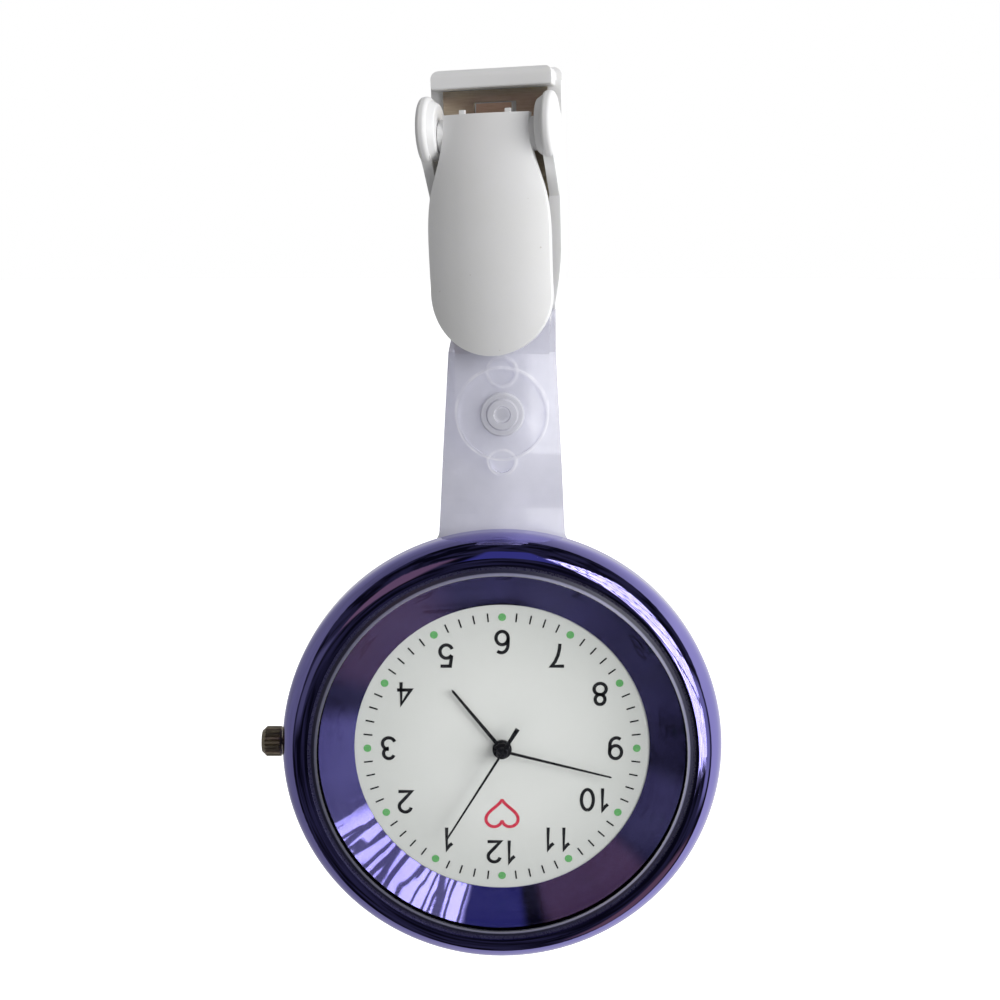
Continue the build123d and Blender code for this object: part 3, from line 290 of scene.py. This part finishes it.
def white_plastic():
    material, tree = new_material("white_plastic")
    stain = mapped(tree, noise(tree, 6.0, 4.0), 0.4, 0.75)
    specks = mapped(tree, noise(tree, 0.5, 1.0), 0.80, 0.83)
    clean = blend_colours(tree, stain, colour(0.80, 0.80, 0.805), colour(0.775, 0.775, 0.77))
    grain = calc(tree, "MULTIPLY_ADD", noise(tree, 0.12, 2.0), 0.12, noise(tree, 2.5, 2.0))
    principled(tree, {
        "Base Color": blend_colours(tree, specks, clean, colour(0.62, 0.60, 0.57)),
        "Roughness": mapped(tree, noise(tree, 3.0, 3.0), 0.3, 0.7, 0.3, 0.42),
        "Subsurface Weight": 0.25,
        "Subsurface Radius": (1.0, 1.0, 0.9),
        "Subsurface Scale": 0.0006,
        "Normal": bump(tree, grain, 0.02),
    })
    return material


def brushed_metal(name, tint, dark_tint, stretch=(14.0, 14.0, 1.0), roughness=(0.24, 0.42), centre=None):
    """Metal with fine straight brushing, or circular brushing about a centre."""
    material, tree = new_material(name)
    if centre is None:
        strokes = noise(tree, 1.4, 4.0, stretch)
    else:
        strokes = lathe_marks(tree, centre, 0.12)
    stains = mapped(tree, noise(tree, 4.0, 5.0), 0.35, 0.7)
    streaks = mapped(tree, strokes, 0.3, 0.7)
    shade = calc(tree, "MULTIPLY_ADD", streaks, 0.6, calc(tree, "MULTIPLY", stains, 0.4))
    low, high = roughness
    principled(tree, {
        "Base Color": blend_colours(tree, shade, tint, dark_tint),
        "Metallic": 1.0,
        "Roughness": mapped(tree, strokes, 0.3, 0.7, low, high),
        "Normal": bump(tree, strokes, 0.006),
    })
    return material


def moulded(name, tint, dark_tint, roughness=0.5, grain=0.15, depth=0.01):
    """Plain moulded plastic or paint with a fine grain and slight mottling."""
    material, tree = new_material(name)
    mottle = mapped(tree, noise(tree, 5.0, 4.0), 0.3, 0.7)
    texture = noise(tree, grain, 2.0)
    principled(tree, {
        "Base Color": blend_colours(tree, mottle, tint, dark_tint),
        "Roughness": mapped(tree, texture, 0.3, 0.7, roughness - 0.08, roughness + 0.08),
        "Normal": bump(tree, texture, depth),
    })
    return material


def dial_paint(centre):
    """Satin white lacquer with painted shade making it a little darker towards the edge, with a fine grain.
    """
    material, tree = new_material("dial_white")
    radius = distance_from_axis(tree, centre)
    # Painted shade: the dial darkens towards its edge, where the rehaut shades it
    edge_shade = mapped(tree, radius, 0.004, 0.0142, smooth=True)
    grain = noise(tree, 0.08, 2.0)
    mottle = mapped(tree, noise(tree, 4.0, 3.0), 0.3, 0.7, 0.0, 0.25)
    shade = calc(tree, "MAXIMUM", edge_shade, mottle)
    principled(tree, {
        "Base Color": blend_colours(tree, shade, colour(0.775, 0.785, 0.765), colour(0.66, 0.675, 0.65)),
        "Roughness": mapped(tree, grain, 0.3, 0.7, 0.42, 0.55),
        "Normal": bump(tree, grain, 0.004),
    })
    return material


def wound_wire():
    """Enamelled copper wire laid in close turns."""
    material, tree = new_material("copper_coil")
    inputs = {"Vector": place(tree), "Scale": 2200.0, "Distortion": 0.4, "Detail": 1.0}
    turns = add(tree, "TexWave", inputs, wave_type="BANDS", bands_direction="X").outputs["Fac"]
    principled(tree, {
        "Base Color": blend_colours(tree, turns, colour(0.30, 0.09, 0.03), colour(0.80, 0.35, 0.14)),
        "Metallic": 0.85,
        "Roughness": mapped(tree, noise(tree, 1.0), 0.3, 0.7, 0.25, 0.4),
        "Normal": bump(tree, turns, 0.04),
    })
    return material


def circuit_green():
    """Solder mask over copper tracks."""
    material, tree = new_material("board")
    inputs = {"Vector": place(tree), "Scale": 1400.0, "Randomness": 0.35}
    cells = add(tree, "TexVoronoi", inputs, feature="DISTANCE_TO_EDGE").outputs["Distance"]
    tracks = mapped(tree, cells, 0.10, 0.14)
    principled(tree, {
        "Base Color": blend_colours(tree, tracks, colour(0.05, 0.30, 0.12), colour(0.02, 0.14, 0.06)),
        "Roughness": mapped(tree, noise(tree, 0.5), 0.3, 0.7, 0.28, 0.4),
        "Normal": bump(tree, tracks, 0.02),
    })
    return material


def ink(name, tint, thin_tint):
    """Pad-printed ink, slightly uneven."""
    material, tree = new_material(name)
    coverage = mapped(tree, noise(tree, 0.25, 3.0), 0.45, 0.75)
    principled(tree, {
        "Base Color": blend_colours(tree, coverage, tint, thin_tint),
        "Roughness": mapped(tree, coverage, 0.0, 1.0, 0.5, 0.62),
        "Specular IOR Level": 0.25,
        "Normal": bump(tree, coverage, 0.004),
    })
    return material


def snap_place():
    """The middle of the snap, on the strap's front."""
    low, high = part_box("snap_front_cap")
    return Vector(((low.x + high.x) / 2, low.y, (low.z + high.z) / 2))


def strap_rings():
    """The marks below and above the snap and the strap's rounded end, where highlights are painted, as
    (centre, radius, width).
    """
    middle = snap_place()
    below = middle - Vector((0, 0, LOWER_MARK_DROP))
    above = middle + Vector((0, 0, UPPER_MARK_RISE))
    return [
        (below, MARK_RING_RADIUS, MARK_RING_WIDTH),
        (above, MARK_RING_RADIUS, MARK_RING_WIDTH),
        (middle, STRAP_END_RADIUS, WIDE_RING_WIDTH),
    ]


def snap_rings():
    """The rim of the snap's dimple and of its cap, where highlights are painted, as (centre, radius, width).
    """
    inner, outer = SNAP_RINGS
    return [(snap_place(), inner, SNAP_INNER_RING_WIDTH), (snap_place(), outer, WIDE_RING_WIDTH)]


def slot_name(material):
    """The record's name for a material, without the number that Blender adds to a repeated name."""
    return material.name.split(".")[0]


def make_materials(dial_centre):
    """One material for each slot in the record."""
    violet = colour(0.27, 0.245, 0.57)
    violet_dark = colour(0.235, 0.215, 0.53)
    ring_violet = colour(0.16, 0.145, 0.38)
    ring_violet_dark = colour(0.13, 0.115, 0.33)
    steel = colour(0.66, 0.66, 0.67)
    steel_dark = colour(0.50, 0.50, 0.51)
    made = [
        plated("plated_case", violet, violet_dark, 0.10),
        plated("plated_ring", ring_violet, ring_violet_dark, 0.06, dial_centre),
        crystal_glass(dial_centre),
        moulded("gasket", colour(0.03, 0.028, 0.07), colour(0.018, 0.016, 0.045), 0.3),
        brushed_metal("steel_back", steel, steel_dark, centre=dial_centre),
        dial_paint(dial_centre),
        moulded("hand_black", colour(0.008, 0.008, 0.01), colour(0.015, 0.015, 0.016), 0.3, 0.3, 0.004),
        brushed_metal(
            "crown_bronze", colour(0.33, 0.285, 0.20), colour(0.15, 0.13, 0.095), (2.0, 9.0, 9.0), (0.3, 0.5)
        ),
        brushed_metal("brass_wheel", colour(0.80, 0.60, 0.26), colour(0.62, 0.44, 0.17)),
        brushed_metal("steel", steel, steel_dark),
        moulded("movement_plastic", colour(0.02, 0.02, 0.022), colour(0.03, 0.03, 0.03), 0.5),
        moulded("holder_plastic", colour(0.72, 0.72, 0.70), colour(0.64, 0.64, 0.61), 0.45),
        wound_wire(),
        circuit_green(),
        moulded("chip_resin", colour(0.012, 0.012, 0.013), colour(0.02, 0.02, 0.02), 0.35, 0.4, 0.02),
        brushed_metal("battery_steel", colour(0.74, 0.74, 0.75), steel, (1.0, 1.0, 12.0), (0.16, 0.3)),
        clear_plastic(
            "clear_strap", colour(0.75, 0.75, 0.82), colour(0.67, 0.67, 0.74), 0.42, 0.04,
            colour(0.85, 0.85, 0.90), strap_rings(),
        ),
        clear_plastic(
            "clear_snap", colour(0.84, 0.84, 0.87), colour(0.76, 0.76, 0.80), 0.55, 0.02,
            colour(0.9, 0.9, 0.92), snap_rings(),
        ),
        white_plastic(),
        brushed_metal(
            "spring_nickel", colour(0.66, 0.59, 0.47), colour(0.50, 0.41, 0.28), (1.0, 1.0, 10.0),
            (0.28, 0.45),
        ),
    ]
    return {slot_name(material): material for material in made}


def paint_cad_nodes(materials):
    """Each CAD node keeps its mesh and takes the material of its slot in the record."""
    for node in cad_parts.values():
        names = [slot_name(material) for material in node.data.materials]
        for slot, name in zip(node.material_slots, names):
            slot.link = "OBJECT"
            slot.material = materials[name]


# ---------- dial print ----------

def dial_place():
    """The centre of the dial's front face."""
    low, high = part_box("dial")
    return Vector(((low.x + high.x) / 2, low.y, (low.z + high.z) / 2))


def on_dial(centre, x, y, z):
    """A point from millimetres to the right, back and up of the dial's centre."""
    return centre + Vector((x * MM, y * MM, z * MM))


def print_on_dial(name, shapes, material, centre):
    """One thin piece from flat polygons, each a list of (x, z) in millimetres from the dial's centre."""
    mesh = bmesh.new()
    for shape in shapes:
        front = [mesh.verts.new(on_dial(centre, x, -INK_THICKNESS, z)) for x, z in shape]
        rear = [mesh.verts.new(on_dial(centre, x, INK_SUNK, z)) for x, z in shape]
        mesh.faces.new(front)
        mesh.faces.new(list(reversed(rear)))
        count = len(shape)
        for i in range(count):
            j = (i + 1) % count
            mesh.faces.new((front[j], front[i], rear[i], rear[j]))
    bmesh.ops.recalc_face_normals(mesh, faces=mesh.faces)
    data = bpy.data.meshes.new(name)
    mesh.to_mesh(data)
    mesh.free()
    data.materials.append(material)
    piece = bpy.data.objects.new(name, data)
    bpy.context.scene.collection.objects.link(piece)
    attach(piece, "watch")


def dial_direction(minute):
    """The (x, z) direction of a minute mark, with 12 at the bottom."""
    angle = 2 * pi * minute / MINUTES
    return -sin(angle), -cos(angle)


def make_ticks(centre, material):
    shapes = []
    for minute in range(MINUTES):
        if minute % (MINUTES // HOURS):
            x, z = dial_direction(minute)
            half = TICK_WIDTH / 2
            inner = MARK_RADIUS - TICK_LENGTH / 2
            outer = MARK_RADIUS + TICK_LENGTH / 2
            shapes.append([
                (x * r + z * side * half, z * r - x * side * half)
                for r, side in ((inner, -1), (inner, 1), (outer, 1), (outer, -1))
            ])
    print_on_dial("dial_minute_ticks", shapes, material, centre)


def make_dots(centre, material):
    shapes = []
    for hour in range(HOURS):
        x, z = dial_direction(hour * MINUTES // HOURS)
        angles = [2 * pi * i / DOT_CORNERS for i in range(DOT_CORNERS)]
        shapes.append([
            (x * MARK_RADIUS + DOT_RADIUS * cos(angle), z * MARK_RADIUS + DOT_RADIUS * sin(angle))
            for angle in angles
        ])
    print_on_dial("dial_hour_dots", shapes, material, centre)


def stroke(points, width):
    """Quads of constant width along a line of points, with mitred corners."""
    line = [Vector(point) for point in points]
    edges = []
    for i, point in enumerate(line):
        arriving = (point - line[max(i - 1, 0)]).normalized()
        leaving = (line[min(i + 1, len(line) - 1)] - point).normalized()
        along = (arriving + leaving).normalized()
        spread = max(arriving.dot(along), 0.5) if 0 < i < len(line) - 1 else 1
        side = Vector((-along.y, along.x)) * width / 2 / spread
        edges.append((point + side, point - side))
    return [
        [left, next_left, next_right, right]
        for (left, right), (next_left, next_right) in zip(edges, edges[1:])
    ]


def arc(x, z, half_width, half_height, start, end):
    """Points along part of an ellipse, with angles in degrees anticlockwise from the right."""
    steps = max(8, int(abs(end - start) / 12))
    angles = [radians(start + (end - start) * i / steps) for i in range(steps + 1)]
    return [(x + half_width * cos(a), z + half_height * sin(a)) for a in angles]


def digit_lines(digit):
    """The lines of a plain digit in a box one unit high, centred on its middle."""
    tail = arc(0.03, 0.13, 0.27, 0.32, 52, 180) + arc(0.0, -0.17, 0.25, 0.28, 180, 540)
    return {
        "0": [arc(0, 0, 0.25, 0.45, 90, 450)],
        "1": [[(-0.20, 0.20), (-0.08, 0.30), (0.03, 0.47), (0.03, -0.5)]],
        "2": [arc(0, 0.20, 0.25, 0.25, 168, -30) + [(-0.02, -0.18), (-0.26, -0.45), (0.28, -0.45)]],
        "3": [arc(-0.01, 0.225, 0.22, 0.225, 160, -90), arc(-0.01, -0.20, 0.26, 0.25, 90, -162)],
        "4": [[(0.12, -0.5), (0.12, 0.44), (-0.28, -0.17), (0.29, -0.17)]],
        "5": [[(0.24, 0.45), (-0.16, 0.45), (-0.22, 0.0)], arc(0, -0.17, 0.26, 0.28, 148, -158)],
        "6": [tail],
        "7": [[(-0.26, 0.45), (0.26, 0.45), (0.12, 0.27), (0.0, 0.0), (-0.06, -0.25), (-0.08, -0.5)]],
        "8": [arc(0, 0.235, 0.20, 0.215, 90, 450), arc(0, -0.21, 0.25, 0.24, 90, 450)],
        "9": [[(-x, -z) for x, z in tail]],
    }[digit]


def make_numerals(centre, material):
    """The numbers 1 to 12, all upright for the wearer, who sees the dial the other way up."""
    shapes = []
    for hour in range(1, HOURS + 1):
        x, z = dial_direction(hour * MINUTES // HOURS)
        radius = NUMERAL_RADIUS + NUMERAL_SIDE_SHIFT * x * x
        if hour == 10:
            # The 10 stands a little farther in than its neighbours
            radius -= NUMERAL_SIDE_SHIFT
        digits = str(hour)
        for place_in_number, digit in enumerate(digits):
            shift = (place_in_number - (len(digits) - 1) / 2) * NUMERAL_PITCH
            for line in digit_lines(digit):
                for quad in stroke(line, NUMERAL_STROKE):
                    shapes.append([
                        (x * radius - (u + shift) * NUMERAL_HEIGHT, z * radius - v * NUMERAL_HEIGHT)
                        for u, v in quad
                    ])
    print_on_dial("dial_numerals", shapes, material, centre)


def make_heart(centre, material):
    """An outline heart that stands upright for the wearer, so it's upside down here."""
    half = []
    for i in range(HEART_STEPS + 1):
        t = pi * i / HEART_STEPS
        half.append((16 * sin(t) ** 3, 13 * cos(t) - 5 * cos(2 * t) - 2 * cos(3 * t) - cos(4 * t) + 2.5))
    unit = HEART_WIDTH / 32
    shapes = []
    for side in (-1, 1):
        for quad in stroke(half, HEART_LINE / unit):
            # Each half stops at the middle line, so the two don't overlap
            shapes.append([(side * max(x, 0.0) * unit, -HEART_DISTANCE - z * unit) for x, z in quad])
    print_on_dial("dial_heart", shapes, material, centre)


def make_dial_print():
    centre = dial_place()
    black = ink("print_black", colour(0.012, 0.012, 0.014), colour(0.03, 0.03, 0.032))
    green = ink("print_green", colour(0.13, 0.42, 0.14), colour(0.20, 0.50, 0.20))
    red = ink("print_red", colour(0.62, 0.03, 0.07), colour(0.72, 0.09, 0.13))
    make_ticks(centre, black)
    make_numerals(centre, black)
    make_dots(centre, green)
    make_heart(centre, red)


# ---------- studio ----------

def band(tree, value, low, high, soft):
    rise = mapped(tree, value, low - soft, low + soft, smooth=True)
    fall = mapped(tree, value, high - soft, high + soft, 1.0, 0.0, smooth=True)
    return calc(tree, "MULTIPLY", rise, fall)


def card(tree, around, up, sides, heights, soft=1.5):
    """How much a direction lies on a card, with its sides and heights in degrees to the right and up."""
    return calc(tree, "MULTIPLY", band(tree, around, *sides, soft), band(tree, up, *heights, soft))


def bars(tree, value, spacing, share):
    """0 on evenly spaced bars and 1 between them."""
    phase = calc(tree, "FRACT", calc(tree, "DIVIDE", value, spacing))
    return mapped(tree, phase, share, share + 0.04)


def make_studio_light():
    """A white room behind the watch, and in front of it a dim one with a tall window to the right.

    Mirror surfaces see this room, matt ones see soft light, and what lies straight behind the watch is white.
    """
    world = bpy.data.worlds.new("studio")
    world.use_nodes = True
    bpy.context.scene.world = world
    tree = world.node_tree
    tree.nodes.clear()
    direction = add(tree, "TexCoord").outputs["Generated"]
    parts = add(tree, "SeparateXYZ", {"Vector": direction})
    x, y, z = parts.outputs
    forward = calc(tree, "MULTIPLY", y, -1.0)
    degrees = 180 / pi
    around = calc(tree, "MULTIPLY", calc(tree, "ARCTAN2", x, forward), degrees)
    up = calc(tree, "MULTIPLY", calc(tree, "ARCSINE", z), degrees)
    wobble = add(tree, "TexNoise", {"Vector": direction, "Scale": 5.0, "Detail": 3.0}).outputs["Fac"]
    bent = calc(tree, "MULTIPLY_ADD", wobble, 16.0, around)
    bent_up = calc(tree, "MULTIPLY_ADD", wobble, -9.0, up)

    behind = calc(tree, "MULTIPLY_ADD", calc(tree, "MAXIMUM", z, 0.0), -0.55, y)
    behind = calc(tree, "MULTIPLY_ADD", calc(tree, "MINIMUM", z, 0.0), 0.2, behind)
    surround = mapped(tree, behind, -0.32, -0.25, smooth=True)
    side = mapped(tree, x, -0.7, 0.5, 0.34, 1.0)
    overhead = mapped(tree, z, 0.35, 0.95, 1.0, 0.4)
    lit = calc(tree, "MULTIPLY", calc(tree, "MULTIPLY", side, overhead), surround)
    gloom = blend_colours(
        tree, mapped(tree, wobble, 0.42, 0.6), colour(0.008, 0.008, 0.012), colour(0.06, 0.06, 0.08)
    )
    room = blend_colours(tree, lit, gloom, colour(1.0, 1.0, 1.0))

    pane = card(tree, around, up, (14.0, 50.0), (-21.0, 37.0))
    glazing = calc(tree, "MULTIPLY", bars(tree, bent, 3.1, 0.36), bars(tree, bent_up, 13.0, 0.12))
    window = calc(tree, "MULTIPLY", pane, mapped(tree, glazing, 0.0, 1.0, 0.12, 1.0))
    room = blend_colours(tree, window, room, colour(WINDOW_BRIGHTNESS, WINDOW_BRIGHTNESS, WINDOW_BRIGHTNESS))
    sky = card(tree, around, up, (-8.0, 14.0), (20.0, 52.0), 2.0)
    room = blend_colours(tree, sky, room, colour(0.12, 0.13, 0.34))
    curtain = card(tree, around, up, (49.0, 66.0), (-30.0, 2.0), 4.0)
    room = blend_colours(tree, curtain, room, colour(0.55, 0.55, 0.66))
    warm = card(tree, around, up, (-44.0, -16.0), (12.0, 40.0), 3.0)
    room = blend_colours(tree, warm, room, colour(0.42, 0.25, 0.22))
    table = card(tree, around, up, (30.0, 66.0), (-68.0, -40.0), 4.0)
    room = blend_colours(tree, table, room, colour(0.36, 0.20, 0.16))
    far_side = card(tree, around, up, (-66.0, -44.0), (-12.0, 12.0), 4.0)
    room = blend_colours(tree, far_side, room, colour(0.22, 0.22, 0.24))

    from_right = mapped(tree, x, -1.0, 1.0, *LIGHT_FROM_RIGHT)
    from_behind = mapped(tree, y, -0.2, 0.8, 0.0, LIGHT_FROM_BEHIND, True)
    soft = calc(tree, "ADD", from_right, from_behind)
    path = add(tree, "LightPath").outputs
    scattered = calc(tree, "GREATER_THAN", path["Diffuse Depth"], 0.5)
    under_glass = calc(tree, "GREATER_THAN", path["Transmission Depth"], 0.5)
    soft = calc(tree, "MULTIPLY", soft, calc(tree, "MULTIPLY_ADD", under_glass, EXTRA_LIGHT_UNDER_GLASS, 1.0))
    mirrored = calc(tree, "GREATER_THAN", path["Glossy Depth"], 0.5)
    shown = blend_colours(tree, mirrored, colour(1.0, 1.0, 1.0), room)
    grey = add(tree, "CombineColor", {0: soft, 1: soft, 2: soft}).outputs[0]
    shown = blend_colours(tree, scattered, shown, grey)
    background = add(tree, "Background", {"Color": shown, "Strength": 1.0})
    add(tree, "OutputWorld", {"Surface": background.outputs[0]})
    world.cycles.sampling_method = "NONE"


def make_soft_box(name, place_from, aim, size, power):
    """A large soft lamp that doesn't show in mirror surfaces, to the camera or through the crystal."""
    lamp = bpy.data.lights.new(name, "AREA")
    lamp.shape = "RECTANGLE"
    lamp.size = size
    lamp.size_y = size
    lamp.energy = power
    holder = bpy.data.objects.new(name, lamp)
    holder.location = aim + place_from
    holder.rotation_mode = "QUATERNION"
    holder.rotation_quaternion = (-place_from).to_track_quat("-Z", "Y")
    holder.visible_glossy = False
    holder.visible_camera = False
    holder.visible_transmission = False
    bpy.context.scene.collection.objects.link(holder)


def make_floor():
    """A wide pale floor below the hanging watch."""
    floor_z = cad_box[0].z - FLOOR_BELOW
    mesh = bmesh.new()
    rim = []
    for i in range(FLOOR_CORNERS):
        angle = 2 * pi * i / FLOOR_CORNERS
        rim.append(mesh.verts.new((FLOOR_RADIUS * cos(angle), FLOOR_RADIUS * sin(angle), floor_z)))
    mesh.faces.new(rim)
    data = bpy.data.meshes.new("floor")
    mesh.to_mesh(data)
    mesh.free()
    material, tree = new_material("floor")
    paint = blend_colours(tree, noise(tree, 60.0), colour(0.93, 0.93, 0.93), colour(0.96, 0.96, 0.96))
    principled(tree, {
        "Base Color": paint,
        "Roughness": 0.9,
        "Emission Color": colour(1.0, 1.0, 1.0),
        "Emission Strength": FLOOR_GLOW,
    })
    data.materials.append(material)
    floor = bpy.data.objects.new("floor", data)
    bpy.context.scene.collection.objects.link(floor)
    floor.visible_glossy = False
    floor.visible_diffuse = False
    floor.visible_transmission = False


def make_camera():
    camera = bpy.data.cameras.new("camera")
    camera.sensor_width = 36.0
    camera.lens = CAMERA_LENS
    camera.clip_start = 0.005
    camera.clip_end = 20.0
    holder = bpy.data.objects.new("camera", camera)
    holder.location = dial_place() + CAMERA_FROM_DIAL
    holder.rotation_euler = (pi / 2 - CAMERA_PITCH, 0.0, 0.0)
    bpy.context.scene.collection.objects.link(holder)
    bpy.context.scene.camera = holder


# ---------- build ----------

bpy.context.scene.view_settings.view_transform = "Standard"
paint_cad_nodes(make_materials(dial_place()))
make_dial_print()
make_studio_light()
make_soft_box("key_light", LAMP_FROM_DIAL, dial_place(), LAMP_SIZE, LAMP_POWER)
make_floor()
make_camera()
